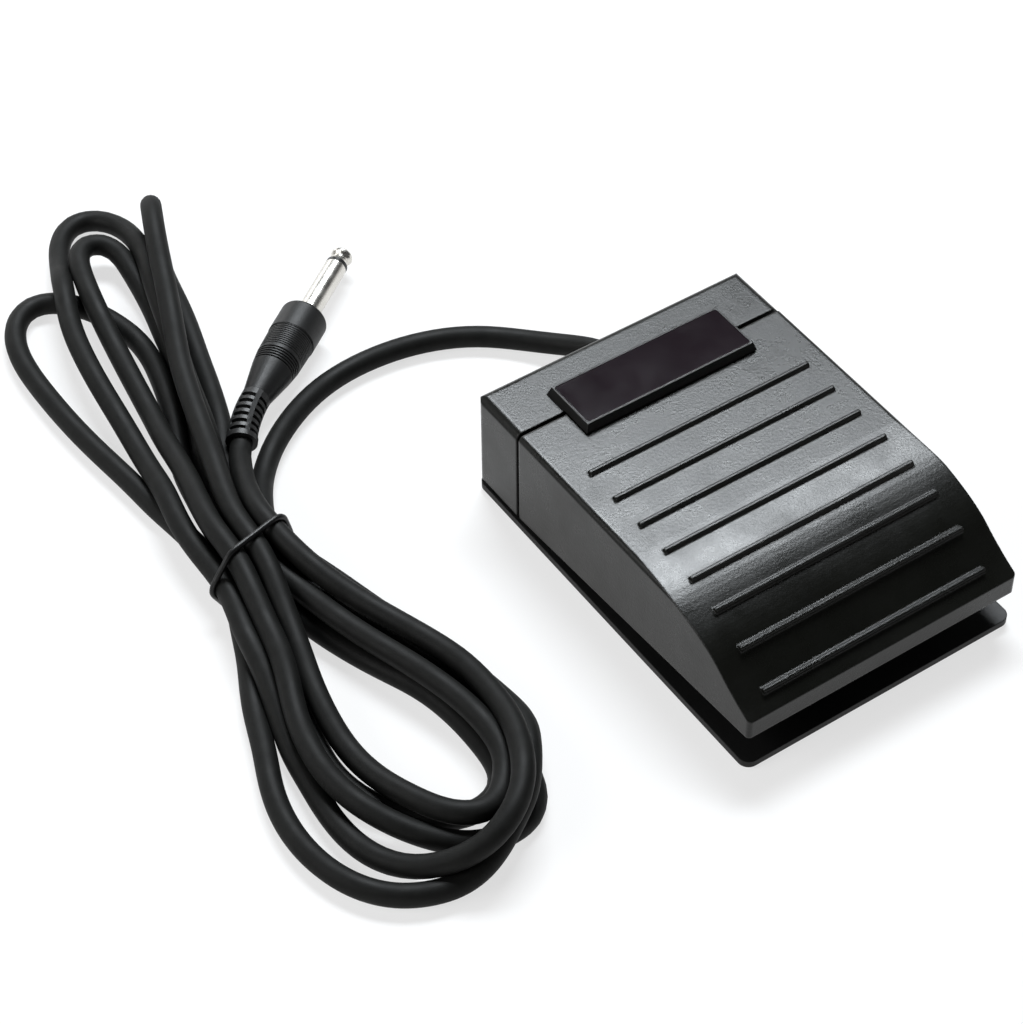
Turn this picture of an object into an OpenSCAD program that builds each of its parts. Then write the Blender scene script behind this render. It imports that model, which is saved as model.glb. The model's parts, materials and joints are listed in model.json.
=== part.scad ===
// Sustain pedal: a hinged treadle over a return spring and a lever switch, with its lead
// folded into a tied hank and ending in a phone plug.
// Millimetres. Origin: centre of the base footprint on the floor. +Y is the lead side, +Z is up.

/* [Body] */
// width of the treadle and of the rear housing
body_w = 83; // [82:0.5:86]
// length from the nose to the rear face
body_l = 115.6; // [114:0.2:118]
// height of the flat top above the floor
body_h = 33.7; // [33:0.1:35]
// wall thickness of the moulded shells
wall = 2.2; // [1.8:0.1:2.4]
// length of the fixed rear housing
housing_l = 17.7; // [17.4:0.1:18]
// gap between the treadle and the rear housing
seam = 1.1; // [0.9:0.1:1.4]
// radius of the treadle's long top edges
treadle_edge_r = 1.5; // [1:0.1:2]
// radius of the rear housing's edges
housing_edge_r = 2.2; // [1.5:0.1:3]
// height of the treadle's front lip
lip_h = 5.8; // [5:0.1:7]

/* [Base] */
// thickness of the rubber mat under the base
mat_t = 1; // [0.8:0.1:1.2]
// thickness of the steel base plate
plate_t = 2; // [1.8:0.1:2.2]
// how far the base plate stands out past the body on each side
plate_over = 0.4; // [0:0.05:0.5]
// corner radius of the base plate
plate_corner_r = 3; // [2:0.5:5]
// open gap between the base plate and the shells
shadow_gap = 1; // [0.8:0.1:1.2]

/* [Treadle grip] */
// length of each grip rib across the treadle
rib_w = 68.6; // [60:0.5:74]
// height of each grip rib
rib_h = 1.2; // [0.6:0.1:1.6]
// width of a rib at its foot
rib_foot = 1.9; // [1.5:0.1:2.4]
// width of a rib at its top
rib_top = 0.8; // [0.6:0.1:1.2]

/* [Name pad] */
// width of the raised pad on the rear housing
pad_w = 54; // [46:0.5:60]
// length of the pad
pad_l = 17.8; // [16:0.1:18.5]
// height of the pad
pad_h = 2.8; // [2.2:0.1:3.4]
// slope inset of the pad's bevelled sides
pad_bevel = 0.9; // [0.4:0.1:1.2]

/* [Hinge and spring] */
// height of the hinge pin above the floor
pin_z = 8.2; // [8:0.1:8.6]
// radius of the hinge pin
pin_r = 2; // [1.8:0.1:2.1]
// full travel of the treadle in degrees
travel_deg = 4.6; // [4:0.1:4.6]
// mean radius of the return spring
spring_r = 6; // [5.5:0.1:6.4]
// radius of the spring wire
spring_wire_r = 0.7; // [0.5:0.05:0.8]
// number of spring turns
spring_turns = 6; // [5:1:7]

/* [Cord and plug] */
// outer diameter of the cord
cord_d = 6; // [5.8:0.1:6.3]
// radius of the plug's sleeve
sleeve_r = 3.175; // [3.1:0.025:3.2]
// length of the plug's shaft
shaft_l = 30.5; // [29:0.5:32]
// radius of the plug's handle
handle_r = 6.75; // [6.2:0.05:6.75]

/* [Hidden] */
$fn = 48;

// ---- body ----
fit = 0.02;
nose_back = 0.3;
nose_y = -body_l / 2 + nose_back;
rear_y = body_l / 2;
housing_y = rear_y - housing_l;
treadle_y = housing_y - seam;
plate_z = mat_t + plate_t;
shell_z = plate_z + shadow_gap;
lip_drop = 15.6;
lip_z = body_h - lip_drop - lip_h;
lip_corner_r = 1.2;
plate_over_y = plate_over / 2;
curve_steps = 5;

// top of the treadle: distance back from the nose, drop below the flat top
nose_curve = [[0, lip_drop], [4.5, 13.3], [9.5, 10.2], [15.5, 6.1], [23.5, 2.9],
    [33.5, 0.7], [47.5, 0], [60, 0]];

// point on a smooth curve through p1 and p2
function blend_point(p0, p1, p2, p3, t) =
    0.5 * (2 * p1 + (p2 - p0) * t + (2 * p0 - 5 * p1 + 4 * p2 - p3) * t * t
    + (3 * p1 - p0 - 3 * p2 + p3) * t * t * t);

// open smooth curve through a list of points
function smooth_path(pts, steps) = let (last = len(pts) - 1) [
    for (i = [0 : last - 1]) for (k = [0 : steps - 1])
        blend_point(pts[max(i - 1, 0)], pts[i], pts[i + 1], pts[min(i + 2, last)], k / steps),
    pts[last]];

// closed smooth curve through a list of points
function smooth_ring(pts, steps) = let (n = len(pts)) [
    for (i = [0 : n - 1]) for (k = [0 : steps - 1])
        blend_point(pts[(i + n - 1) % n], pts[i], pts[(i + 1) % n], pts[(i + 2) % n], k / steps)];

top_line = [for (p = smooth_path(nose_curve, curve_steps)) [nose_y + p[0], body_h - p[1]]];
function top_z(y) = lookup(y, top_line);
function top_slope(y) = atan(top_z(y + 0.5) - top_z(y - 0.5));

// ---- grip ribs ----
rib_rows = [18.4, 7.8, -2.7, -13, -23.5, -33.3, -43.3, -52.8];
rib_sink = 0.8;

// ---- name pad ----
pad_y1 = rear_y - 10.1;
pad_y0 = pad_y1 - pad_l;
pad_clear = 0.4;
label_t = 0.35;
label_rim = 0.45;
label_corner_r = 0.8;

// ---- hinge ----
pin_y = rear_y - 11.8;
pin_bore_r = pin_r + 0.05;
arm_x0 = 28.6;
arm_x1 = 32.2;
eye_r = 3.6;
bracket_t = 1;
cheek_x0 = 32.6;
cheek_x1 = 33.8;
bracket_y0 = pin_y - 4;
bracket_y1 = pin_y + 3;
cheek_r = 3.2;
pin_half = 35.4;
clip_t = 0.6;
clip_r = 3;
window_half = 20;
window_z = 14;

// ---- fasteners ----
rivet_r = 1.5;
rivet_head_r = 2.2;
rivet_head_h = 0.9;
rivet_spots = [[-24, pin_y], [-10, pin_y], [10, pin_y], [24, pin_y], [22.5, 12], [22.5, 25]];
screw_r = 1.4;
screw_head_r = 2.9;
screw_head_h = 1.5;
screw_len = 9;
screw_spots = [[-36.4, rear_y - 5.3], [-10, rear_y - 5.3], [36.4, rear_y - 5.3]];
boss_r = 2.8;
mat_hole_r = 3.6;
mat_inset = 1;
groove_count = 9;
groove_pitch = 11;
groove_d = 0.35;

// ---- spring ----
spring_y = -15;
seat_t = 1.5;
seat_r = 8;
seat_post_r = 4;
seat_post_h = 5;
spigot_r = 2.5;
spring_z0 = plate_z + seat_t;
spring_z1 = 24;
cup_r = 9.2;
cup_in_r = 7.6;
cup_skirt = 3;
spring_rings = 14;

// ---- stops ----
stop_x = 28;
stop_y = -43;
stop_r = 5;
stop_h = 2.2;
stop_post_r = 4;
stop_gap = 0.6;
stop_post_z = plate_z + stop_h + stop_gap + (pin_y - stop_y) * tan(travel_deg);

// ---- switch ----
sw_x = 14;
sw_w = 6.4;
sw_y0 = 8;
sw_l = 20.4;
sw_z0 = 9;
sw_h = 10.2;
sw_top = sw_z0 + sw_h;
sw_side = sw_x + sw_w / 2;
lever_y = 27;
lever_z = sw_top + 1.4;
lever_tilt = 12;
lever_l = 19;
lever_t = 0.4;
lever_w = 3.6;
lever_barrel_r = 1.1;
lever_root = 0.88;
lever_pin_r = 0.6;
ear_t = 1.1;
ear_r = 1.4;
plunger_y = 21;
plunger_r = 1.2;
plunger_top = sw_top + 1.9;
plunger_l = 3.2;
plunger_well = 2.7;
striker_y = 13.3;
striker_z = 25.2;
striker_r = 1;
foot_w = 9.5;
bracket_h = 16;
sw_screw_y = [sw_y0 + 4.2, sw_y0 + 13.7];
sw_screw_z = 12.5;
sw_screw_r = 1.1;
tab_w = 3.2;
tab_t = 0.5;
tab_h = 4.2;
tab_rows = [10, 18, 26];

// ---- gland and inner cord ----
gland_x = 10;
gland_z = 9;
gland_in_r = 4.8;
gland_neck_r = 4.1;
gland_flange_r = 5.4;
gland_flange_t = 1.8;
gland_in_t = 1.6;
gland_end_y = 70;
cord_r = cord_d / 2;
jacket_l = 2.8;
wire_r = 0.65;
jacket_y = rear_y - wall - gland_in_t;
wire_start_y = jacket_y - jacket_l;

// ---- routes: round points along the middle of each cord ----
lead_route = [[10, 70, 9], [9, 77, 7.4], [5.5, 84.5, 5.2], [-1, 94, 3.6], [-12, 104, 3.2],
    [-28, 111.5, 3.2], [-45, 113.5, 3.2], [-60, 111, 3.2], [-75, 104, 3.2],
    [-86, 93, 3.2], [-91, 83, 3.2]];
tail_route = [[-89, 99.4, 7.2], [-91.2, 96, 7], [-94, 91, 7.1], [-97.5, 83, 7.6]];
red_route = [[11, wire_start_y - 0.4, 9.6], [11, 49, 11], [11, 45.5, 12], [11, 41, 11.8],
    [11, 36, 9.6], [12.5, 30, 6.8], [13, 26.35, 6]];
black_route = [[9, wire_start_y - 0.4, 9.6], [9, 49, 11], [9, 45.5, 12], [8.5, 41, 11.8],
    [7.5, 36, 9.6], [7, 29, 6.8], [7.2, 23, 6], [9, 18.6, 6], [12.3, 18, 6]];

// ---- hank ----
hank_h = 14;
hank_outline = [[-92, 66], [-92, 84], [-89, 103], [-82, 119], [-74, 138], [-66, 160],
    [-59, 184], [-56, 202], [-62, 211], [-76, 212], [-94, 202], [-112, 184], [-122, 164],
    [-123, 140], [-122, 115], [-121, 90], [-121.5, 66], [-125, 45], [-131, 25], [-139, 11],
    [-145, -5], [-145, -22], [-140, -38], [-128, -48], [-112, -50], [-98, -45], [-86, -35],
    [-79, -20], [-77, 0], [-80, 22], [-86, 42], [-90, 56]];
tie_y0 = 64.5;
tie_w = 3;
tie_x0 = -122.6;
tie_x1 = -90.8;
tie_t = 1.2;

// ---- plug ----
plug_at = [-49.3, 132.2, 6.8];
plug_heading = 36.4;
plug_dip = 2;
barrel_l = 10;
band_l = 9;
shoulder_l = 4.5;
cone_l = 10.5;
band_r = handle_r - 0.15;
band_end_r = handle_r - 0.4;
shoulder_end_r = band_end_r - 0.55;
band_rings = 11;
band_groove = 0.2;
shoulder_rings = 5;
boot_r = 3.9;
boot_core_r = 3.1;
boot_l = 16.5;
boot_bend = 20;
boot_roll = 26;
boot_solid = 2;
boot_slots = 6;
boot_slot = 1.2;
boot_flare = 0.2;
boot_end_t = 1.6;
boot_rib = 1.3;
boot_rib_r = 3.35;
boot_turn_r = boot_l / boot_bend * 180 / PI;
handle_l = barrel_l + band_l + shoulder_l + cone_l;
front_round = 0.9;
tip_l = 6.6;
insulator_t = 1.3;
sleeve_l = shaft_l - tip_l - insulator_t;
plug_clear = 0.5;

// ---- shared shapes ----

// outline in Y and Z, drawn out along X
module along_x(x0, x1) {
    translate([x0, 0, 0])
        rotate([90, 0, 90])
            linear_extrude(x1 - x0)
                children();
}

// outline in X and Z, drawn out along Y
module along_y(y0, y1) {
    translate([0, y1, 0])
        rotate([90, 0, 0])
            linear_extrude(y1 - y0)
                children();
}

module box(x0, x1, y0, y1, z0, z1) {
    translate([x0, y0, z0])
        cube([x1 - x0, y1 - y0, z1 - z0]);
}

// rod along X
module rod_x(x0, x1, y, z, r) {
    translate([x0, y, z])
        rotate([0, 90, 0])
            cylinder(h = x1 - x0, r = r);
}

// rod along Y, tapering from r0 to r1
module rod_y(y0, y1, x, z, r0, r1) {
    translate([x, y0, z])
        rotate([-90, 0, 0])
            cylinder(h = y1 - y0, r1 = r0, r2 = r1);
}

// rectangle from (u0, v0) to (u1, v1) with its two upper corners rounded
module round_top(u0, u1, v0, v1, r) {
    translate([u0, v0])
        square([u1 - u0, v1 - v0 - r]);
    translate([u0 + r, v0])
        square([u1 - u0 - 2 * r, v1 - v0]);
    for (u = [u0 + r, u1 - r])
        translate([u, v1 - r])
            circle(r);
}

module round_rect(w, l, r) {
    square([w - 2 * r, l], center = true);
    square([w, l - 2 * r], center = true);
    for (sx = [-1, 1], sy = [-1, 1])
        translate([sx * (w / 2 - r), sy * (l / 2 - r)])
            circle(r);
}

// round tube swept along a list of points
module tube(pts, r, sides) {
    n = len(pts);
    dirs = [for (i = [0 : n - 1])
        let (d = pts[min(i + 1, n - 1)] - pts[max(i - 1, 0)]) d / norm(d)];
    across = [for (d = dirs) let (c = cross(d, [0, 0, 1])) c / norm(c)];
    rings = [for (i = [0 : n - 1]) for (k = [0 : sides - 1])
        let (a = 360 * k / sides)
        pts[i] + r * (cos(a) * across[i] + sin(a) * cross(across[i], dirs[i]))];
    walls = [for (i = [0 : n - 2]) for (k = [0 : sides - 1])
        let (a = i * sides + k, b = i * sides + (k + 1) % sides)
        each [[a, b, a + sides], [b, b + sides, a + sides]]];
    start_cap = [[for (k = [sides - 1 : -1 : 0]) k]];
    end_cap = [[for (k = [0 : sides - 1]) (n - 1) * sides + k]];
    polyhedron(points = rings, faces = concat(walls, start_cap, end_cap), convexity = 6);
}

// ---- base ----
module base_plate() {
    color("dimgray")
        difference() {
            translate([0, 0, mat_t])
                linear_extrude(plate_t)
                    round_rect(body_w + 2 * plate_over, body_l + 2 * plate_over_y,
                        plate_corner_r);
            for (p = rivet_spots)
                translate([p[0], p[1], 0])
                    cylinder(h = plate_z + 1, r = rivet_r + fit);
            for (p = screw_spots)
                translate([p[0], p[1], mat_t]) {
                    translate([0, 0, -1])
                        cylinder(h = plate_t + 2, r = screw_r + fit);
                    translate([0, 0, -fit])
                        cylinder(h = screw_head_h, r1 = screw_head_r + fit, r2 = screw_r + fit);
                }
            translate([0, spring_y, 0])
                cylinder(h = plate_z + 1, r = spigot_r + fit);
        }
}

module rubber_mat() {
    color("black")
        difference() {
            linear_extrude(mat_t)
                round_rect(body_w - 2 * mat_inset, body_l - 2 * mat_inset, plate_corner_r);
            for (p = screw_spots)
                translate([p[0], p[1], -1])
                    cylinder(h = mat_t + 2, r = mat_hole_r);
            for (i = [0 : groove_count - 1])
                box(-body_w / 2 + 6, body_w / 2 - 6,
                    (i - (groove_count - 1) / 2) * groove_pitch - 4.4,
                    (i - (groove_count - 1) / 2) * groove_pitch - 3, -1, groove_d);
        }
}

module down_stops() {
    color("black")
        for (s = [-1, 1])
            translate([s * stop_x, stop_y, plate_z]) {
                cylinder(h = stop_h - 0.6, r = stop_r);
                cylinder(h = stop_h, r = stop_r - 0.8);
            }
}

module rivets() {
    color("silver")
        for (p = rivet_spots)
            translate([p[0], p[1], mat_t]) {
                cylinder(h = plate_t + bracket_t, r = rivet_r);
                translate([0, 0, plate_t + bracket_t])
                    cylinder(h = rivet_head_h, r1 = rivet_head_r, r2 = rivet_head_r - 0.7);
            }
}

module housing_screws() {
    color("silver")
        for (p = screw_spots)
            translate([p[0], p[1], mat_t])
                difference() {
                    union() {
                        cylinder(h = screw_head_h, r1 = screw_head_r, r2 = screw_r);
                        cylinder(h = screw_len, r = screw_r);
                    }
                    for (a = [0, 90])
                        rotate([0, 0, a])
                            cube([3, 0.6, 1.4], center = true);
                }
}

// ---- shells ----
module housing_solid() {
    intersection() {
        along_y(housing_y, rear_y)
            round_top(-body_w / 2, body_w / 2, shell_z, body_h, housing_edge_r);
        linear_extrude(body_h + 1)
            round_top(-body_w / 2, body_w / 2, 0, rear_y, housing_edge_r);
        along_x(-body_w / 2, body_w / 2)
            round_top(0, rear_y, 0, body_h, housing_edge_r);
    }
}

module rear_housing() {
    color("black")
        difference() {
            union() {
                difference() {
                    housing_solid();
                    box(-body_w / 2 + wall, body_w / 2 - wall, housing_y - 1, rear_y - wall,
                        0, body_h - wall);
                }
                for (p = screw_spots)
                    translate([p[0], p[1], plate_z])
                        cylinder(h = body_h - wall / 2 - plate_z, r = boss_r);
            }
            for (p = screw_spots)
                translate([p[0], p[1], plate_z - 1])
                    cylinder(h = screw_len, r = screw_r + fit);
            rod_y(rear_y - wall - 1, rear_y + 1, gland_x, gland_z,
                gland_neck_r + fit, gland_neck_r + fit);
        }
}

module name_pad() {
    color("black")
        difference() {
            intersection() {
                along_y(pad_y0, pad_y1)
                    polygon([[-pad_w / 2, body_h], [pad_w / 2, body_h],
                        [pad_w / 2 - pad_bevel, body_h + pad_h],
                        [-pad_w / 2 + pad_bevel, body_h + pad_h]]);
                along_x(-pad_w / 2, pad_w / 2)
                    polygon([[pad_y0, body_h], [pad_y1, body_h],
                        [pad_y1 - pad_bevel, body_h + pad_h],
                        [pad_y0 + pad_bevel, body_h + pad_h]]);
            }
            box(-pad_w, pad_w, 0, housing_y, 0, body_h + pad_clear);
            translate([0, (pad_y0 + pad_y1) / 2, body_h + pad_h - label_t])
                linear_extrude(1)
                    round_rect(pad_w - 2 * pad_bevel - 2 * label_rim,
                        pad_l - 2 * pad_bevel - 2 * label_rim, label_corner_r);
        }
}

module name_label() {
    color("black")
        translate([0, (pad_y0 + pad_y1) / 2, body_h + pad_h - label_t])
            linear_extrude(label_t - 0.05)
                round_rect(pad_w - 2 * pad_bevel - 2 * label_rim - 0.1,
                    pad_l - 2 * pad_bevel - 2 * label_rim - 0.1, label_corner_r);
}

module treadle_solid() {
    intersection() {
        along_x(-body_w / 2, body_w / 2)
            polygon(concat(top_line, [[treadle_y, body_h], [treadle_y, shell_z],
                [nose_y, lip_z]]));
        along_y(nose_y, treadle_y)
            round_top(-body_w / 2, body_w / 2, 0, body_h, treadle_edge_r);
        rotate([0, 0, 180])
            linear_extrude(body_h + 1)
                round_top(-body_w / 2, body_w / 2, -treadle_y, -nose_y, lip_corner_r);
    }
}

module treadle_hollow() {
    inner = [for (p = top_line) if (p[0] > nose_y + wall) [p[0], p[1] - wall]];
    along_x(-body_w / 2 + wall, body_w / 2 - wall)
        polygon(concat([[nose_y + wall, inner[0][1] - 1]], inner,
            [[treadle_y - wall, body_h - wall], [treadle_y - wall, -1], [nose_y + wall, -1]]));
}

module grip_rib(y) {
    translate([0, y, top_z(y)])
        rotate([top_slope(y), 0, 0])
            along_x(-rib_w / 2, rib_w / 2)
                polygon([[-rib_foot / 2, -rib_sink], [rib_foot / 2, -rib_sink],
                    [rib_foot / 2, 0], [rib_top / 2, rib_h], [-rib_top / 2, rib_h],
                    [-rib_foot / 2, 0]]);
}

module hinge_arm(x0, x1) {
    difference() {
        union() {
            rod_x(x0, x1, pin_y, pin_z, eye_r);
            along_x(x0, x1)
                polygon([[treadle_y - 12, shell_z + 2], [pin_y - 2, pin_z - 3],
                    [pin_y, pin_z + eye_r - fit], [treadle_y - 12, 20]]);
        }
        rod_x(x0 - 1, x1 + 1, pin_y, pin_z, pin_bore_r);
    }
}

module treadle() {
    color("black") {
        difference() {
            treadle_solid();
            treadle_hollow();
            box(-window_half, window_half, treadle_y - wall - 1, treadle_y + 1, 0, window_z);
        }
        for (y = rib_rows)
            grip_rib(y);
        hinge_arm(arm_x0, arm_x1);
        hinge_arm(-arm_x1, -arm_x0);
        difference() {
            translate([0, spring_y, spring_z1 - cup_skirt])
                cylinder(h = top_z(spring_y) - wall / 2 - spring_z1 + cup_skirt, r = cup_r);
            translate([0, spring_y, 0])
                cylinder(h = spring_z1, r = cup_in_r);
        }
        rod_x(sw_x - 2, sw_x + 2, striker_y, striker_z, striker_r);
        box(sw_x - 2, sw_x + 2, striker_y - striker_r, striker_y + striker_r, striker_z,
            body_h - wall / 2);
        for (s = [-1, 1])
            translate([s * stop_x, stop_y, stop_post_z])
                cylinder(h = top_z(stop_y - stop_post_r) - 0.6 - stop_post_z, r = stop_post_r);
    }
}

// ---- hinge ----
module hinge_bracket() {
    color("silver")
        difference() {
            union() {
                box(-cheek_x1, cheek_x1, bracket_y0, bracket_y1, plate_z, plate_z + bracket_t);
                for (x = [-cheek_x1, cheek_x0]) {
                    box(x, x + cheek_x1 - cheek_x0, pin_y - cheek_r + 0.2, bracket_y1,
                        plate_z, pin_z);
                    rod_x(x, x + cheek_x1 - cheek_x0, pin_y, pin_z, cheek_r);
                }
            }
            rod_x(-cheek_x1 - 1, cheek_x1 + 1, pin_y, pin_z, pin_r + fit);
            for (p = rivet_spots)
                translate([p[0], p[1], 0])
                    cylinder(h = plate_z + bracket_t + 0.5, r = rivet_r + fit);
        }
}

module hinge_pin() {
    color("silver")
        rod_x(-pin_half, pin_half, pin_y, pin_z, pin_r);
}

module pin_clips() {
    color("silver")
        for (x = [-cheek_x1 - 0.3 - clip_t, cheek_x1 + 0.3])
            difference() {
                rod_x(x, x + clip_t, pin_y, pin_z, clip_r);
                rod_x(x - 1, x + clip_t + 1, pin_y, pin_z, pin_r + fit);
                box(x - 1, x + clip_t + 1, pin_y - 1, pin_y + 1, pin_z, pin_z + clip_r + 1);
            }
}

// ---- spring ----
module spring_seat() {
    color("ivory")
        translate([0, spring_y, 0]) {
            translate([0, 0, plate_z])
                cylinder(h = seat_t, r = seat_r);
            translate([0, 0, plate_z])
                cylinder(h = seat_t + seat_post_h, r = seat_post_r);
            translate([0, 0, mat_t])
                cylinder(h = plate_t, r = spigot_r);
        }
}

// height of the coil at turn t: one flat turn at each end
function coil_z(t) = let (free = spring_turns - 2, low = spring_z0 + spring_wire_r + 0.05,
    high = spring_z1 - spring_wire_r - 0.05, pack = 2 * spring_wire_r + 0.1)
    low + pack * min(t, 1) + (high - low - 2 * pack) * min(max(t - 1, 0), free) / free
    + pack * max(t - 1 - free, 0);

module return_spring() {
    color("silver")
        translate([0, spring_y, 0])
            tube([for (i = [0 : spring_turns * spring_rings])
                let (t = i / spring_rings)
                [spring_r * cos(360 * t), spring_r * sin(360 * t), coil_z(t)]],
                spring_wire_r, 6);
}

// ---- switch ----
module switch_bracket() {
    color("silver")
        difference() {
            union() {
                box(sw_side, sw_side + foot_w, sw_y0 - 1, sw_y0 + sw_l + 1, plate_z,
                    plate_z + bracket_t);
                box(sw_side, sw_side + bracket_t, sw_y0 - 1, sw_y0 + sw_l + 1, plate_z,
                    plate_z + bracket_h);
            }
            for (y = sw_screw_y)
                rod_x(sw_side - 1, sw_side + 3, y, sw_screw_z, sw_screw_r + fit);
            for (p = rivet_spots)
                translate([p[0], p[1], 0])
                    cylinder(h = plate_z + bracket_t + 0.5, r = rivet_r + fit);
        }
}

module switch_body() {
    color("firebrick")
        difference() {
            union() {
                box(sw_x - sw_w / 2, sw_side, sw_y0, sw_y0 + sw_l, sw_z0, sw_top);
                for (x = [sw_x - sw_w / 2, sw_side - ear_t]) {
                    rod_x(x, x + ear_t, lever_y, lever_z, ear_r);
                    box(x, x + ear_t, lever_y - ear_r, lever_y + ear_r, sw_top - 0.5, lever_z);
                }
            }
            rod_x(sw_x - sw_w, sw_x + sw_w, lever_y, lever_z, lever_pin_r + fit);
            translate([sw_x, plunger_y, sw_top - plunger_well])
                cylinder(h = plunger_well + 1, r = plunger_r + 0.06);
            for (y = sw_screw_y)
                rod_x(sw_x - sw_w, sw_x + sw_w, y, sw_screw_z, sw_screw_r + fit);
        }
}

module switch_terminals() {
    color("gold")
        for (y = tab_rows)
            difference() {
                box(sw_x - tab_w / 2, sw_x + tab_w / 2, y - tab_t / 2, y + tab_t / 2,
                    sw_z0 - tab_h, sw_z0);
                rod_y(y - 1, y + 1, sw_x + 0.7, sw_z0 - tab_h + 1.3, 0.5, 0.5);
            }
}

module switch_screws() {
    color("silver")
        for (y = sw_screw_y) {
            rod_x(sw_x - sw_w / 2, sw_side + 3.4, y, sw_screw_z, sw_screw_r);
            rod_x(sw_x - sw_w / 2 - 1.2, sw_x - sw_w / 2, y, sw_screw_z, 2);
        }
}

module switch_nuts() {
    color("silver")
        for (y = sw_screw_y)
            difference() {
                translate([sw_side + bracket_t, y, sw_screw_z])
                    rotate([0, 90, 0])
                        cylinder(h = 1.6, r = 2.3, $fn = 6);
                rod_x(sw_side, sw_side + 4, y, sw_screw_z, sw_screw_r + fit);
            }
}

module lever_pin() {
    color("silver")
        rod_x(sw_x - sw_w / 2, sw_side, lever_y, lever_z, lever_pin_r);
}

module switch_lever() {
    color("silver")
        difference() {
            union() {
                rod_x(sw_x - lever_w / 2, sw_x + lever_w / 2, lever_y, lever_z,
                    lever_barrel_r);
                translate([sw_x - lever_w / 2, lever_y, lever_z])
                    rotate([-lever_tilt, 0, 0])
                        translate([0, -lever_l, -lever_t / 2])
                            cube([lever_w, lever_l - lever_root, lever_t]);
            }
            rod_x(sw_x - lever_w, sw_x + lever_w, lever_y, lever_z, lever_pin_r + 0.06);
        }
}

module switch_plunger() {
    color("ivory")
        translate([sw_x, plunger_y, plunger_top - plunger_l])
            cylinder(h = plunger_l, r = plunger_r);
}

module wire_red() {
    color("red")
        tube(smooth_path(red_route, 3), wire_r, 8);
}

module wire_black() {
    color("black")
        tube(smooth_path(black_route, 3), wire_r, 8);
}

// ---- cord ----
module cord_end() {
    color("black")
        rod_y(wire_start_y, jacket_y, gland_x, gland_z, cord_r, cord_r);
}

module cord_gland() {
    color("black")
        difference() {
            union() {
                rod_y(jacket_y, rear_y - wall, gland_x, gland_z, gland_in_r, gland_in_r);
                rod_y(rear_y - wall, rear_y, gland_x, gland_z, gland_neck_r, gland_neck_r);
                rod_y(rear_y, rear_y + gland_flange_t, gland_x, gland_z, gland_flange_r,
                    gland_flange_r - 0.4);
                rod_y(rear_y + gland_flange_t, gland_end_y, gland_x, gland_z, 4.6, 3.8);
            }
            for (y = [61.5, 64.5, 67.5])
                difference() {
                    rod_y(y - 0.6, y + 0.6, gland_x, gland_z, 6, 6);
                    rod_y(y - 1, y + 1, gland_x, gland_z, 3.4, 3.4);
                }
        }
}

module cord_lead() {
    color("black")
        tube(smooth_path(lead_route, 2), cord_r, 10);
}

module cord_tail() {
    color("black")
        tube(smooth_path(tail_route, 2), cord_r, 10);
}

module cord_tie() {
    color("black")
        difference() {
            box(tie_x0, tie_x1, tie_y0, tie_y0 + tie_w, 0, hank_h + tie_t);
            box(tie_x0 + tie_t, tie_x1 - tie_t, tie_y0 - 1, tie_y0 + tie_w + 1, tie_t, hank_h);
        }
}

module cord_hank() {
    color("black")
        difference() {
            linear_extrude(hank_h)
                polygon(smooth_ring(hank_outline, 3));
            difference() {
                box(tie_x0 - 20, tie_x1 + 20, tie_y0, tie_y0 + tie_w, -1, hank_h + 1);
                box(tie_x0 + tie_t, tie_x1 - tie_t, tie_y0 - 1, tie_y0 + tie_w + 1, tie_t,
                    hank_h);
            }
            place_plug() {
                rod_x(-handle_l, 2, 0, 0, handle_r + plug_clear);
                boot_frame()
                    boot_arc(boot_bend)
                        circle(boot_r + boot_flare + 0.2 + plug_clear);
            }
        }
}

// ---- plug: drawn along X with the handle's front face at 0 ----
module place_plug() {
    translate(plug_at)
        rotate([0, plug_dip, plug_heading])
            children();
}

// outline in X and radius, spun about X
module spin_x() {
    rotate([0, 90, 0])
        rotate_extrude()
            rotate([0, 0, 90])
                mirror([0, 1])
                    children();
}

module boot_frame() {
    translate([-handle_l, 0, 0])
        rotate([boot_roll, 0, 0])
            translate([0, -boot_turn_r, 0])
                children();
}

module boot_arc(angle) {
    rotate([0, 0, 90])
        rotate_extrude(angle = angle)
            translate([boot_turn_r, 0])
                children();
}

module boot_disc(angle, t, r) {
    rotate([0, 0, angle])
        translate([0, boot_turn_r, 0])
            rotate([0, -90, 0])
                cylinder(h = t, r = r);
}

module plug_sleeve() {
    color("silver")
        place_plug()
            difference() {
                rod_x(0, sleeve_l, 0, 0, sleeve_r);
                rod_x(sleeve_l - 0.8, sleeve_l + 1, 0, 0, 1.5 + fit);
            }
}

module plug_insulator() {
    color("black")
        place_plug() {
            rod_x(sleeve_l, sleeve_l + insulator_t, 0, 0, sleeve_r);
            rod_x(sleeve_l - 0.8, sleeve_l, 0, 0, 1.5);
        }
}

module plug_tip() {
    x0 = sleeve_l + insulator_t;
    color("silver")
        place_plug()
            spin_x()
                polygon([[x0, 0], [x0, sleeve_r - 0.3], [x0 + 1.2, sleeve_r - 0.5],
                    [x0 + 1.9, sleeve_r - 0.85], [x0 + 2.5, sleeve_r - 0.85],
                    [x0 + 3.2, sleeve_r - 0.2], [x0 + 3.8, sleeve_r],
                    [x0 + 4.3, sleeve_r - 0.2], [x0 + 5.9, 1.5], [x0 + 6.4, 0.9],
                    [x0 + tip_l, 0]]);
}

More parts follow.
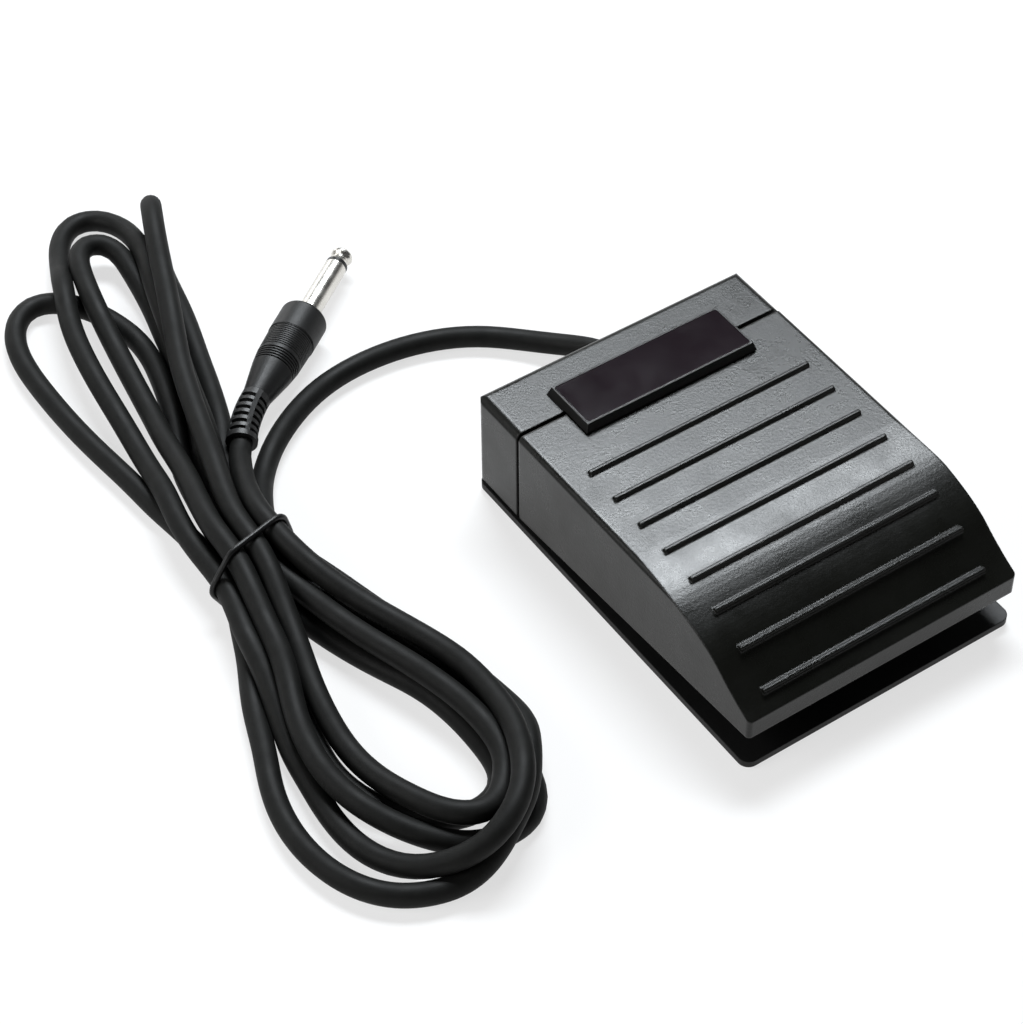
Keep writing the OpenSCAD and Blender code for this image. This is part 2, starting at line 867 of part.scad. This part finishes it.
module plug_handle() {
    color("black")
        place_plug()
            difference() {
                union() {
                    rod_x(-barrel_l, -front_round, 0, 0, handle_r);
                    spin_x()
                        translate([-front_round, 0]) {
                            square([front_round, handle_r - front_round]);
                            intersection() {
                                translate([0, handle_r - front_round])
                                    circle(front_round);
                                square([front_round, handle_r]);
                            }
                        }
                    translate([-barrel_l, 0, 0])
                        rotate([0, -90, 0])
                            cylinder(h = band_l, r1 = band_r, r2 = band_end_r);
                    translate([-barrel_l - band_l, 0, 0])
                        rotate([0, -90, 0])
                            cylinder(h = shoulder_l, r1 = band_end_r, r2 = shoulder_end_r);
                    translate([cone_l - handle_l, 0, 0])
                        rotate([0, -90, 0])
                            cylinder(h = cone_l, r1 = shoulder_end_r, r2 = boot_r);
                }
                spin_x()
                    for (i = [0 : band_rings - 1])
                        translate([-barrel_l - 0.6 - i * (band_l - 0.8) / band_rings,
                            band_r - 0.25 * i / band_rings - band_groove])
                            square([0.3, 2]);
                spin_x()
                    for (i = [0 : shoulder_rings - 1])
                        translate([-barrel_l - band_l - 0.7 - i * 0.86,
                            band_end_r - 0.1 * i - 0.45])
                            square([0.45, 2]);
            }
}

function boot_turn(length) = length / boot_turn_r * 180 / PI;

module plug_boot() {
    ring_t = (boot_l - boot_solid - boot_end_t - boot_slots * boot_slot) / (boot_slots - 1);
    color("black")
        place_plug()
            boot_frame() {
                boot_arc(boot_bend)
                    circle(boot_core_r);
                boot_disc(0, boot_solid, boot_r);
                for (i = [1 : boot_slots - 1])
                    boot_disc(boot_turn(boot_solid + i * boot_slot + (i - 1) * ring_t),
                        ring_t, boot_r + boot_flare * i / boot_slots);
                boot_disc(boot_turn(boot_l - boot_end_t), boot_end_t, boot_r + boot_flare + 0.2);
                for (q = [[1, 0], [-1, 0], [0, 1], [0, -1]])
                    boot_arc(boot_bend)
                        translate([q[0] * boot_rib_r, q[1] * boot_rib_r])
                            square(boot_rib, center = true);
            }
}

base_plate();
rubber_mat();
rear_housing();
name_pad();
name_label();
treadle();
hinge_bracket();
hinge_pin();
pin_clips();
rivets();
housing_screws();
down_stops();
spring_seat();
return_spring();
switch_bracket();
switch_body();
switch_terminals();
switch_screws();
switch_nuts();
lever_pin();
switch_lever();
switch_plunger();
wire_red();
wire_black();
cord_end();
cord_gland();
cord_lead();
cord_hank();
cord_tail();
cord_tie();
plug_tip();
plug_insulator();
plug_sleeve();
plug_handle();
plug_boot();
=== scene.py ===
"""Looks for the sustain pedal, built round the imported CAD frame: camera, cord, tie, spring,
materials, floor and light."""

import json
import math

import bpy
import numpy as np
from mathutils import Matrix, Vector


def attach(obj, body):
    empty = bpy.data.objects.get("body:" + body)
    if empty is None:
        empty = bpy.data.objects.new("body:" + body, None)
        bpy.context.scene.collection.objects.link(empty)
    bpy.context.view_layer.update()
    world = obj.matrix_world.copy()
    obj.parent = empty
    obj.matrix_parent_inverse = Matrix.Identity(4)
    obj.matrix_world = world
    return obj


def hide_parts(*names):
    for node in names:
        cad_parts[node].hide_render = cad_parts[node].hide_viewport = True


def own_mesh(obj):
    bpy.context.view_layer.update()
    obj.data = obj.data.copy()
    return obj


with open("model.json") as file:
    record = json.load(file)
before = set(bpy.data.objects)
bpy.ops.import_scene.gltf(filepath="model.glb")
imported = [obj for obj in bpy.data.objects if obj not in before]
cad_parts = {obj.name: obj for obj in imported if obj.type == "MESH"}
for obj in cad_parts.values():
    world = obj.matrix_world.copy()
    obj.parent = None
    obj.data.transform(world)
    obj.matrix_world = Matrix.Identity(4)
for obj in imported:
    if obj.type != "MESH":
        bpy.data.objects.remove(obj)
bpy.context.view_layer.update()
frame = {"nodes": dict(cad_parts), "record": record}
NODES = frame["nodes"]
MM = 0.001
SCENE = bpy.context.scene


# ---- camera, as fitted to the body's straight edges in the photograph ----
CAMERA_SPOT = (-0.32672, -0.38298, 0.55416)
CAMERA_RIGHT = Vector((0.82667, -0.56264, -0.0066))
CAMERA_DOWN = Vector((-0.41578, -0.60291, -0.6809))
CAMERA_AHEAD = Vector((0.37912, 0.56563, -0.73235))
CAMERA_LENS = 102.05
FILM_WIDTH = 36


def add_camera():
    data = bpy.data.cameras.new("camera")
    data.sensor_fit = "HORIZONTAL"
    data.sensor_width = FILM_WIDTH
    data.lens = CAMERA_LENS
    data.clip_start, data.clip_end = 0.05, 20
    cam = bpy.data.objects.new("camera", data)
    turn = Matrix((CAMERA_RIGHT, -CAMERA_DOWN, -CAMERA_AHEAD)).transposed().to_4x4()
    cam.matrix_world = Matrix.Translation(CAMERA_SPOT) @ turn
    SCENE.collection.objects.link(cam)
    SCENE.camera = cam


add_camera()

# ---- cord route, in mm ----
CORD_D = 6.0
CORD_R = CORD_D / 2
STEP = 3.0  # between the points that settle
CLOSE = 1.8 * CORD_D  # only points nearer than this are tested for touching
HOLD_FLAT, HOLD_UP = 0.04, 0.03  # how firmly a point is drawn back to the route, per round
STIFFNESS = 0.45  # how strongly bends are eased, per pass
TAIL_POINTS = 14  # the last points run up to the boot, so the plug doesn't push them
FIXED_START, FIXED_END = 4, 3  # points held at the gland and at the boot's mouth
# the ten strands inside the tie, packed three, four and three: x and z of each
TIED = {
    1: (-114.2, 3), 3: (-107.8, 3), 4: (-101.4, 3),
    6: (-117.4, 8.4), 2: (-111, 8.4), 8: (-104.6, 8.4), 5: (-98.2, 8.4),
    7: (-112.4, 13.8), 10: (-106, 13.8), 9: (-99.6, 13.8),
}


def tied(strand, y):
    return (TIED[strand][0], y, TIED[strand][1])


ABOVE, BELOW = 72, 61
LEAD = [
    (10, 66, 9), (10, 70, 9), (9.2, 76, 7.3), (5.8, 83, 5), (-1.5, 92.5, 3.4), (-12, 102.6, 3),
    (-28, 109.7, 3), (-45, 111.6, 3), (-60, 109.2, 3), (-75.8, 101.2, 3), (-86.2, 92.2, 3),
    (-93, 83, 4.4), tied(5, ABOVE), tied(5, BELOW),
]
LOW_1 = [
    (-93.5, 48, 5), (-89, 32, 3), (-84.5, 18, 3), (-80.5, 4, 3), (-78.9, -8, 3),
    (-80, -18.5, 5), (-85, -27.5, 8), (-93, -36.8, 9), (-102, -44, 7.3),
    (-108.5, -47.5, 4.5), (-119, -47.5, 3), (-130, -43.5, 3), (-138, -34, 3), (-142, -18, 3),
    (-139.8, -1, 3), (-133, 14.5, 3), (-125, 31, 3), (-119.8, 46, 3), tied(1, BELOW),
]
UP_1 = [
    tied(1, ABOVE), (-115.4, 88, 3), (-117.8, 110, 3), (-119.8, 128, 3), (-120.6, 148, 3),
    (-119.3, 167, 3), (-114.5, 178.8, 3), (-107.5, 183.2, 3), (-100.5, 180.5, 3),
    (-95, 172, 3), (-90.5, 159, 3), (-90, 145, 3), (-91.5, 131, 3), (-97, 114, 3),
    (-104.5, 93, 5), tied(2, ABOVE),
]
LOW_2 = [
    tied(2, BELOW), (-115.5, 47, 5.5), (-120.5, 27, 3), (-124.5, 8, 3), (-124, -10, 3),
    (-117.5, -23.5, 3), (-108.5, -31, 3), (-98, -32.5, 3), (-90.8, -25.5, 3), (-89.3, -12, 3),
    (-91, 2, 3), (-98.5, 20, 3), (-104.5, 39, 3), tied(3, BELOW),
]
UP_2 = [
    tied(3, ABOVE), (-101.5, 94, 3), (-94, 113, 3), (-88.5, 133, 3), (-84, 148, 3),
    (-80.5, 161.5, 3.5), (-78.2, 174, 4.5), (-76.9, 184.5, 6), (-79, 189.8, 6.8),
    (-84, 192.2, 7.8), (-89, 189.8, 8.5), (-91.2, 184.3, 8.5), (-95, 167, 7.5), (-98.3, 148, 6.5),
    (-102.3, 123, 6), (-106.5, 98, 8), tied(7, ABOVE),
]
LOW_3 = [
    tied(7, BELOW), (-114.8, 49, 11.5), (-118.5, 35, 9.5), (-123.5, 17.5, 9), (-127.5, 1, 9),
    (-128, -10.5, 8.5), (-124.5, -22.5, 7.5), (-118, -32.5, 5.5), (-110, -39.5, 3.6),
    (-101.5, -42.7, 3), (-94, -42, 3), (-88.3, -36.6, 3), (-85.3, -28, 3), (-84.8, -14, 3),
    (-86, 0, 3), (-88.5, 15, 3), (-92.5, 32, 3), (-98, 48, 3), tied(4, BELOW),
]
UP_3 = [
    tied(4, ABOVE), (-97.2, 90, 3), (-91.8, 105, 3), (-86, 121, 3), (-79.6, 138.3, 3),
    (-75, 153.5, 3), (-72.2, 165.6, 3), (-70.2, 175.5, 3), (-67.3, 183.6, 3.2), (-65.1, 188.4, 5.4),
    (-64.1, 190.6, 10.8), (-65, 188.5, 16.4), (-67.4, 183.2, 19), (-72.4, 171.8, 18.4),
    (-78.2, 157, 17.4), (-83.7, 143.3, 16), (-89.6, 129, 14.6), (-95, 111.5, 13.8),
    (-100, 94, 13.8), tied(10, ABOVE),
]
LOW_4 = [
    tied(10, BELOW), (-108.5, 49, 12), (-112.7, 35, 9.5), (-117, 16, 8), (-119.2, -0.5, 6.5),
    (-118.3, -12.5, 7), (-114.7, -25.5, 8.2), (-109.2, -34.2, 9), (-101.2, -38.3, 9.2),
    (-93.5, -34.2, 9), (-89.3, -24, 8.6), (-89.2, -8, 8.5), (-92.6, 7.5, 8.5),
    (-98, 25.5, 8.5), (-102.2, 44, 8.4), tied(8, BELOW),
]
UP_4 = [
    tied(8, ABOVE), (-101, 87.5, 9), (-94.5, 107.5, 9), (-89, 127.5, 9), (-84, 143.5, 9),
    (-79, 161.5, 8.5), (-74, 179, 7), (-71, 191, 5), (-73.4, 202, 3.5), (-79.5, 207.3, 3),
    (-87.6, 202.5, 3.5), (-96.2, 184.5, 6), (-103.8, 166, 8), (-108, 146, 8),
    (-110.5, 122.5, 6.5), (-113.3, 102, 6.5), (-116.5, 84, 8), tied(6, ABOVE),
]
LOW_5 = [
    tied(6, BELOW), (-119.8, 46, 8), (-122.3, 34, 7.5), (-125, 22, 5), (-128, 9, 3),
    (-130.8, -4, 3), (-132, -18, 3), (-129.5, -31, 3.5), (-122.5, -41, 5.5),
    (-113.5, -46, 9), (-105, -46.5, 13.5), (-95.5, -41, 15), (-87.5, -29, 13.5),
    (-83, -12.5, 10.5), (-82.5, 3, 9), (-86.8, 18, 9), (-92.8, 34.5, 9.5), (-97.6, 48.5, 12),
    tied(9, BELOW),
]
TAIL = [tied(9, ABOVE), (-97.2, 83, 11.6), (-93.9, 91.2, 9), (-91.4, 95.7, 7.7),
        (-89.4, 98.8, 7.3), (-87.9, 100.8, 7.4)]
ROUTE = (LEAD + LOW_1 + UP_1 + LOW_2 + UP_2 + LOW_3 + UP_3 + LOW_4 + UP_4 + LOW_5 + TAIL)

# the plug on the floor: handle front, direction, and lengths back from the front
PLUG_FRONT = np.array((-49.3, 132.2, 6.8))
PLUG_HEADING, PLUG_DIP = math.radians(36.4), math.radians(2)
PLUG_AXIS = np.array((
    math.cos(PLUG_HEADING) * math.cos(PLUG_DIP),
    math.sin(PLUG_HEADING) * math.cos(PLUG_DIP),
    -math.sin(PLUG_DIP),
))
BAND_BACK, CONE_BACK = 23.5, 34
BAND_END = PLUG_FRONT - BAND_BACK * PLUG_AXIS
CONE_END = PLUG_FRONT - CONE_BACK * PLUG_AXIS
BOOT_END = CONE_END + np.array((-11.5, -11.6, -0.7))
# (start, end, radius at start, radius at end) of what the cord lies round
PLUG_SOLIDS = [(PLUG_FRONT, BAND_END, 6.75, 5.9), (BAND_END, CONE_END, 5.9, 3.9),
               (CONE_END, BOOT_END, 3.9, 4.3)]


def spaced(points, step):
    """A smooth curve through the points, cut into equal steps."""
    p = np.array(points, float)
    p = np.vstack([2 * p[0] - p[1], p, 2 * p[-1] - p[-2]])
    line = []
    for a, b, c, d in zip(p, p[1:], p[2:], p[3:]):
        k1 = math.sqrt(np.linalg.norm(b - a))
        k2 = k1 + math.sqrt(np.linalg.norm(c - b))
        k3 = k2 + math.sqrt(np.linalg.norm(d - c))
        for t in np.linspace(k1, k2, 24, endpoint=False):
            ab = (k1 - t) / k1 * a + t / k1 * b
            bc = ((k2 - t) * b + (t - k1) * c) / (k2 - k1)
            cd = ((k3 - t) * c + (t - k2) * d) / (k3 - k2)
            left = ((k2 - t) * ab + t * bc) / k2
            right = ((k3 - t) * bc + (t - k1) * cd) / (k3 - k1)
            line.append(((k2 - t) * left + (t - k1) * right) / (k2 - k1))
    line.append(p[-2])
    return even(np.array(line), step)


def even(line, step):
    """The same line with its points a step apart."""
    along = np.r_[0, np.cumsum(np.linalg.norm(np.diff(line, axis=0), axis=1))]
    marks = np.linspace(0, along[-1], int(round(along[-1] / step)) + 1)
    return np.stack([np.interp(marks, along, line[:, k]) for k in range(3)], axis=1)


def middle(p):
    """How far each point is from the middle of its neighbours."""
    out = np.zeros_like(p)
    out[1:-1] = (p[:-2] + p[2:]) / 2 - p[1:-1]
    return out


def settle(start, rounds=300, near=7):
    """Strands push off each other, the plug and the floor until they lie nearly clear."""
    p = start.copy()
    count = len(p)
    first, second = np.triu_indices(count, near)
    for turn in range(rounds):
        if turn % 10 == 0:
            close = np.linalg.norm(p[first] - p[second], axis=1) < CLOSE
            a, b = first[close], second[close]
        p[:, :2] += HOLD_FLAT * (start[:, :2] - p[:, :2])
        p[:, 2] += HOLD_UP * (start[:, 2] - p[:, 2])
        for _ in range(2):
            gap = p[b] - p[a]
            dist = np.linalg.norm(gap, axis=1) + 1e-9
            hit = dist < CORD_D
            push = gap[hit] / dist[hit, None] * ((CORD_D - dist[hit, None]) / 2)
            move, hits = np.zeros_like(p), np.zeros(count)
            np.add.at(move, a[hit], -push)
            np.add.at(move, b[hit], push)
            np.add.at(hits, a[hit], 1)
            np.add.at(hits, b[hit], 1)
            p += move * (2 / np.maximum(hits, 2))[:, None]
            for c0, c1, r0, r1 in PLUG_SOLIDS:
                axis = c1 - c0
                t = np.clip(((p - c0) @ axis) / (axis @ axis), 0, 1)
                gap = p - c0 - t[:, None] * axis
                dist = np.linalg.norm(gap, axis=1) + 1e-9
                deep = r0 + (r1 - r0) * t + CORD_R - dist
                deep[-TAIL_POINTS:] = 0
                inside = deep > 0
                p[inside] += gap[inside] / dist[inside, None] * deep[inside, None] / 2
            p[:, 2] = np.maximum(p[:, 2], CORD_R)
        for _ in range(2):
            p -= STIFFNESS * middle(middle(p))
        p[:, 2] = np.maximum(p[:, 2], CORD_R)
        p[:FIXED_START], p[-FIXED_END:] = start[:FIXED_START], start[-FIXED_END:]
    return p


CORD_LINE = settle(spaced(ROUTE, STEP))


# ---- making pieces ----
def piece(name, data, body, material):
    obj = bpy.data.objects.new(name, data)
    SCENE.collection.objects.link(obj)
    data.materials.append(material)
    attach(obj, body)
    return obj


def line_curve(name, points, radius, closed=False, sides=6):
    """A round line through points in mm."""
    curve = bpy.data.curves.new(name, "CURVE")
    curve.dimensions = "3D"
    spline = curve.splines.new("POLY")
    spline.points.add(len(points) - 1)
    for spot, (x, y, z) in zip(spline.points, points):
        spot.co = (x * MM, y * MM, z * MM, 1)
    spline.use_cyclic_u = closed
    spline.use_smooth = True
    curve.bevel_depth = radius * MM
    curve.bevel_resolution = sides
    curve.use_fill_caps = not closed
    return curve


# ---- materials ----
class Look:
    """A node material with a few helpers."""

    def __init__(self, name, color, rough, metallic=0.0, specular=0.5):
        self.mat = bpy.data.materials.new(name)
        self.mat.use_nodes = True
        self.tree = self.mat.node_tree
        self.bsdf = self.tree.nodes["Principled BSDF"]
        self.bsdf.inputs["Base Color"].default_value = (*color, 1)
        self.bsdf.inputs["Roughness"].default_value = rough
        self.bsdf.inputs["Metallic"].default_value = metallic
        self.bsdf.inputs["Specular IOR Level"].default_value = specular
        self.color, self.rough = color, rough
        self.place = self.add("ShaderNodeTexCoord").outputs["Object"]
        self.normal = None

    def add(self, kind, **values):
        node = self.tree.nodes.new(kind)
        for key, value in values.items():
            setattr(node, key, value)
        return node

    def link(self, a, b):
        self.tree.links.new(a, b)

    def noise(self, scale, detail=4.0, rough=0.55, stretch=None):
        node = self.add("ShaderNodeTexNoise")
        node.inputs["Scale"].default_value = scale
        node.inputs["Detail"].default_value = detail
        node.inputs["Roughness"].default_value = rough
        source = self.place
        if stretch:
            mapping = self.add("ShaderNodeMapping")
            mapping.inputs["Scale"].default_value = stretch
            self.link(self.place, mapping.inputs["Vector"])
            source = mapping.outputs["Vector"]
        self.link(source, node.inputs["Vector"])
        return node.outputs["Fac"]

    def spread(self, value, low, high, out_low, out_high):
        node = self.add("ShaderNodeMapRange")
        for key, v in (("From Min", low), ("From Max", high), ("To Min", out_low),
                       ("To Max", out_high)):
            node.inputs[key].default_value = v
        self.link(value, node.inputs["Value"])
        return node.outputs["Result"]

    def vary_rough(self, value, amount):
        self.link(self.spread(value, 0.3, 0.7, self.rough - amount, self.rough + amount),
                  self.bsdf.inputs["Roughness"])

    def vary_color(self, value, amount):
        """Lighter and darker patches of the base colour."""
        mix = self.add("ShaderNodeMix", data_type="RGBA")
        dark = [c * (1 - amount) for c in self.color]
        light = [min(1, c * (1 + amount)) for c in self.color]
        mix.inputs["A"].default_value = (*dark, 1)
        mix.inputs["B"].default_value = (*light, 1)
        self.link(self.spread(value, 0.3, 0.7, 0, 1), mix.inputs["Factor"])
        self.link(mix.outputs["Result"], self.bsdf.inputs["Base Color"])

    def bump(self, value, strength, distance):
        node = self.add("ShaderNodeBump")
        node.inputs["Strength"].default_value = strength
        node.inputs["Distance"].default_value = distance
        self.link(value, node.inputs["Height"])
        if self.normal:
            self.link(self.normal, node.inputs["Normal"])
        self.normal = node.outputs["Normal"]
        self.link(self.normal, self.bsdf.inputs["Normal"])

    def round_edges(self, radius):
        node = self.add("ShaderNodeBevel", samples=6)
        node.inputs["Radius"].default_value = radius
        self.normal = node.outputs["Normal"]
        self.link(self.normal, self.bsdf.inputs["Normal"])


def moulded(name, color, rough, edge=0.0004, grain=0.5, specular=0.26):
    look = Look(name, color, rough, specular=specular)
    look.round_edges(edge)
    look.vary_rough(look.noise(60, 8, 0.72), 0.075)
    look.vary_color(look.noise(25, 3), 0.12)
    look.bump(look.noise(1500, 3, 0.6), grain, 0.00008)
    look.bump(look.noise(35, 2), 0.1, 0.0003)
    return look.mat


def rubbery(name, color, rough, grain=0.4, scale=1800, specular=0.25):
    look = Look(name, color, rough, specular=specular)
    look.vary_rough(look.noise(90, 3), 0.07)
    look.vary_color(look.noise(300, 5), 0.25)
    look.bump(look.noise(scale, 4, 0.65), grain, 0.00008)
    return look.mat


def steel(name, color, rough, stretch=(1, 40, 40)):
    look = Look(name, color, rough, metallic=1.0)
    look.round_edges(0.00015)
    look.vary_rough(look.noise(400, 4, stretch=stretch), 0.08)
    look.vary_color(look.noise(80, 4), 0.08)
    look.bump(look.noise(900, 4, stretch=stretch), 0.15, 0.00002)
    return look.mat


MATS = {
    "painted_base": moulded("painted_base", (0.005, 0.005, 0.005), 0.55, grain=0.5,
                            specular=0.25),
    "mat_rubber": rubbery("mat_rubber", (0.007, 0.007, 0.007), 0.75),
    "shell_plastic": moulded("shell_plastic", (0.0033, 0.0035, 0.0027), 0.3, edge=0.0008),
    "treadle_plastic": moulded("treadle_plastic", (0.0033, 0.0035, 0.0027), 0.3, edge=0.0008),
    "pad_plastic": moulded("pad_plastic", (0.0045, 0.0045, 0.0042), 0.36),
    "zinc_steel": steel("zinc_steel", (0.55, 0.55, 0.54), 0.35),
    "pin_steel": steel("pin_steel", (0.6, 0.6, 0.6), 0.25),
    "spring_steel": steel("spring_steel", (0.5, 0.5, 0.5), 0.3),
    "ivory_nylon": moulded("ivory_nylon", (0.72, 0.7, 0.62), 0.45, edge=0.0002),
    "switch_plastic": moulded("switch_plastic", (0.1, 0.016, 0.014), 0.42, edge=0.0002),
    "contact_brass": steel("contact_brass", (0.7, 0.5, 0.2), 0.3),
    "red_insulation": rubbery("red_insulation", (0.45, 0.02, 0.015), 0.4),
    "black_insulation": rubbery("black_insulation", (0.02, 0.02, 0.02), 0.4),
    "cord_jacket": rubbery("cord_jacket", (0.0052, 0.0053, 0.0049), 0.58, specular=0.12),
    "boot_rubber": rubbery("boot_rubber", (0.012, 0.012, 0.012), 0.45, specular=0.3),
    "tie_plastic": rubbery("tie_plastic", (0.004, 0.004, 0.004), 0.4),
    "insulator_plastic": moulded("insulator_plastic", (0.015, 0.015, 0.015), 0.3,
                                 edge=0.0001),
    "handle_plastic": moulded("handle_plastic", (0.0065, 0.0065, 0.0065), 0.46, edge=0.0002,
                              grain=0.4, specular=0.24),
}


def label_look():
    look = Look("label_gloss", (0.0085, 0.0055, 0.0075), 0.08, specular=0.35)
    look.round_edges(0.00015)
    look.vary_rough(look.noise(120, 4), 0.02)
    look.vary_color(look.noise(40, 2), 0.12)
    look.bump(look.noise(500, 3), 0.04, 0.00002)
    return look.mat


def chrome_look():
    look = Look("plug_chrome", (0.66, 0.64, 0.6), 0.27, metallic=1.0)
    look.round_edges(0.0001)
    look.vary_rough(look.noise(300, 4), 0.04)
    look.vary_color(look.noise(120, 3), 0.04)
    look.bump(look.noise(300, 2), 0.02, 0.00001)
    return look.mat


MATS["label_gloss"] = label_look()
MATS["plug_chrome"] = chrome_look()
for part in frame["record"]["subparts"]:
    obj = NODES[part["node"]]
    obj.data.materials.clear()
    obj.data.materials.append(MATS[part["material_slot"]])

# ---- cord and tie ----
cord = piece("cord", line_curve("cord", even(CORD_LINE, 1.5), CORD_R, sides=7), "base",
             MATS["cord_jacket"])
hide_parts("cord_lead", "cord_hank", "cord_tail")

TIE_R = 0.8
TIE_LEFT, TIE_Y = -121.5, 58.3  # its left foot
TIE_SLANT = 0.23  # how far back it leans for each step to the right
TIE_RIGHT = -85  # cord to the right of this isn't in the bundle
TIE_STAND_OFF = 0.8  # from the strands to its middle line, in band radii


def tie_loop():
    """A band pulled tight round the strands, in a plane that leans with the tie."""
    line = even(CORD_LINE, 1)
    lean = TIE_Y + (line[:, 0] - TIE_LEFT) * TIE_SLANT
    near = (np.abs(line[:, 1] - lean) < 0.8) & (line[:, 0] < TIE_RIGHT)
    spots = line[near][:, (0, 2)]
    ring = [(math.cos(t), math.sin(t)) for t in np.linspace(0, 2 * math.pi, 24, endpoint=False)]
    reach = CORD_R + TIE_R * TIE_STAND_OFF
    cloud = sorted({(round(x + reach * c, 3), round(z + reach * s, 3))
                    for x, z in spots for c, s in ring})

    def half(points):
        """One side of the outline round the points, turning the same way throughout."""
        out = []
        for q in points:
            while len(out) > 1 and ((out[-1][0] - out[-2][0]) * (q[1] - out[-2][1])
                                    - (out[-1][1] - out[-2][1]) * (q[0] - out[-2][0])) <= 0:
                out.pop()
            out.append(q)
        return out[:-1]

    hull = half(cloud) + half(cloud[::-1])
    loop = [(x, TIE_Y + (x - TIE_LEFT) * TIE_SLANT, max(z, TIE_R)) for x, z in hull]
    loop.append(loop[0])
    return even(np.array(loop), 0.8)[:-1]


tie = piece("tie_band", line_curve("tie_band", tie_loop(), TIE_R, closed=True, sides=4),
            "base", MATS["tie_plastic"])
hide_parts("cord_tie")

# ---- return spring, copied from the CAD coil; the real one shortens as the treadle goes down, this copy keeps its shape ----
coil = NODES["return_spring"].data.copy()
coil.materials.clear()
spring = piece("spring_coil", coil, "base", MATS["spring_steel"])
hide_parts("return_spring")
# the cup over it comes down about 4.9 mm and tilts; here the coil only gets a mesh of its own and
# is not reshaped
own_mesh(spring)


# ---- floor and light ----
def add_floor():
    """A white floor that gives off some light, as the photograph's has hardly any shadow."""
    bpy.ops.mesh.primitive_plane_add(size=6, location=(0, 0, 0))
    floor = bpy.context.object
    floor.name = "floor"
    look = Look("floor", (0.22, 0.22, 0.22), 0.8, specular=0.1)
    look.bsdf.inputs["Emission Color"].default_value = (1, 1, 1, 1)
    look.bsdf.inputs["Emission Strength"].default_value = 0.68
    look.vary_rough(look.noise(4, 3), 0.05)
    look.vary_color(look.noise(2, 2), 0.005)
    floor.data.materials.append(look.mat)


def add_light(name, spot, aim, size, power, color=(1, 1, 1)):
    data = bpy.data.lights.new(name, "AREA")
    data.shape = "RECTANGLE"
    data.size, data.size_y = size
    data.energy = power
    data.color = color
    lamp = bpy.data.objects.new(name, data)
    lamp.location = spot
    lamp.rotation_euler = (Vector(aim) - Vector(spot)).to_track_quat("-Z", "Y").to_euler()
    SCENE.collection.objects.link(lamp)


add_floor()
HEART = (-0.03, 0.05, 0.0)
add_light("key_above_back", (0.46, 0.675, 1.2), HEART, (0.8, 0.32), 36, (0.95, 1.0, 1.04))
add_light("fill_left", (-1.3, 0.35, 0.9), HEART, (0.9, 0.9), 13)
add_light("fill_behind", (-0.1, 1.7, 0.45), HEART, (1.4, 0.5), 6)
add_light("fill_front_left", (-1.3, -1.2, 0.35), HEART, (1.2, 0.5), 5)


def add_world():
    """Pale near the horizon, dim above it."""
    world = bpy.data.worlds.new("studio")
    world.use_nodes = True
    tree = world.node_tree
    ground = tree.nodes["Background"]
    ground.inputs["Color"].default_value = (1, 1, 1, 1)
    place = tree.nodes.new("ShaderNodeTexCoord")
    split = tree.nodes.new("ShaderNodeSeparateXYZ")
    fade = tree.nodes.new("ShaderNodeMapRange")
    for key, v in (("From Min", 0.13), ("From Max", 0.26), ("To Min", 0.7), ("To Max", 0.05)):
        fade.inputs[key].default_value = v
    tree.links.new(place.outputs["Generated"], split.inputs["Vector"])
    tree.links.new(split.outputs["Z"], fade.inputs["Value"])
    tree.links.new(fade.outputs["Result"], ground.inputs["Strength"])
    SCENE.world = world


add_world()
SCENE.view_settings.view_transform = "Standard"
